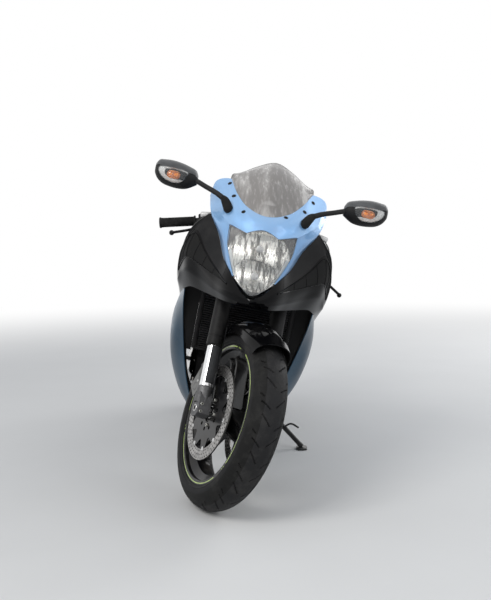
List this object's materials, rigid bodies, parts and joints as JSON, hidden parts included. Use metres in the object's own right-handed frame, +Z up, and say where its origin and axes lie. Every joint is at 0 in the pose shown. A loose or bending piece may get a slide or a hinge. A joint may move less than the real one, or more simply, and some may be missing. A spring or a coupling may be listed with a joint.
{
  "type": "sport motorcycle",
  "caption": "Sport motorcycle with a full fairing, clear headlamp and screen, clip-on bars and twin spar frame, leaning on its side stand with the bars turned to the left stop.",
  "frame": {"origin": "on the floor, under the middle of the overall box", "axes": "-Y towards the front of the bike, +X to its left, +Z up; the bike leans to +X on its side stand"},
  "size_m": [0.777, 2.0086, 1.1221],
  "materials": {
    "alloy": "satin",
    "amber_lens": "gloss",
    "black_gloss": "gloss",
    "black_metal": "satin",
    "black_plastic": "matte",
    "blue_paint": "gloss",
    "clear": "gloss",
    "engine_grey": "satin",
    "red_lens": "gloss",
    "reflector": "gloss",
    "rubber": "matte",
    "steel": "satin",
    "tyre": "matte",
    "vinyl": "matte"
  },
  "bodies": {
    "chassis": {"frame": "black_metal", "engine": "engine_grey", "radiator": "black_metal", "exhaust_headers": "steel", "muffler": "steel", "fuel_tank": "blue_paint", "rider_seat": "vinyl", "tail_cowl": "blue_paint", "passenger_seat": "vinyl", "tail_lamp": "red_lens", "rear_mudguard": "black_plastic", "rear_indicators": "amber_lens", "nose_cowl": "blue_paint", "headlamp_lens": "clear", "headlamp_bowl": "reflector", "windscreen": "clear", "side_cowl_left": "black_gloss", "side_cowl_right": "black_gloss", "lower_cowl_left": "blue_paint", "lower_cowl_right": "blue_paint", "cowl_stay": "black_metal", "instrument_panel": "black_plastic", "mirrors": "black_plastic", "mirror_indicators": "amber_lens", "swingarm": "black_metal", "front_sprocket": "steel", "chain": "steel", "chain_guard": "black_plastic", "radiator_shrouds": "black_plastic", "cockpit_trims": "black_plastic", "footrests": "alloy", "rear_axle": "steel", "rear_caliper": "black_metal", "rear_shock": "steel"},
    "steering": {"top_yoke": "black_metal", "bottom_yoke": "black_metal", "fork_tubes": "black_metal", "fork_lowers": "alloy", "front_axle": "steel", "front_mudguard": "black_plastic", "front_calipers": "engine_grey", "handlebars": "black_metal", "grips": "rubber", "levers": "black_metal", "brake_reservoir": "black_plastic"},
    "front_wheel": {"front_rim": "black_metal", "front_tyre": "tyre", "front_discs": "steel"},
    "rear_wheel": {"rear_rim": "black_metal", "rear_tyre": "tyre", "rear_disc": "steel", "rear_sprocket": "steel"},
    "stand": {"side_stand": "black_metal"}
  },
  "joints": [
    {"name": "steering", "type": "hinge", "parent": "chassis", "child": "steering", "pos_m": [-0.04724, -0.47117, 0.77755], "axis": [0.198, 0.3991, 0.8952], "range_deg": [-48, 0]},
    {"name": "front_wheel_spin", "type": "hinge", "parent": "steering", "child": "front_wheel", "pos_m": [-0.14297, -0.72168, 0.28433], "axis": [0.8564, 0.3739, -0.3561], "continuous": true},
    {"name": "rear_wheel_spin", "type": "hinge", "parent": "chassis", "child": "rear_wheel", "pos_m": [-0.15221, 0.6751, 0.30971], "axis": [0.9763, 0.0011, -0.2164], "continuous": true},
    {"name": "stand_fold", "type": "hinge", "parent": "chassis", "child": "stand", "pos_m": [-0.05074, 0.05966, 0.20529], "axis": [0.7716, -0.0921, 0.6294], "range_deg": [0, 104]}
  ]
}
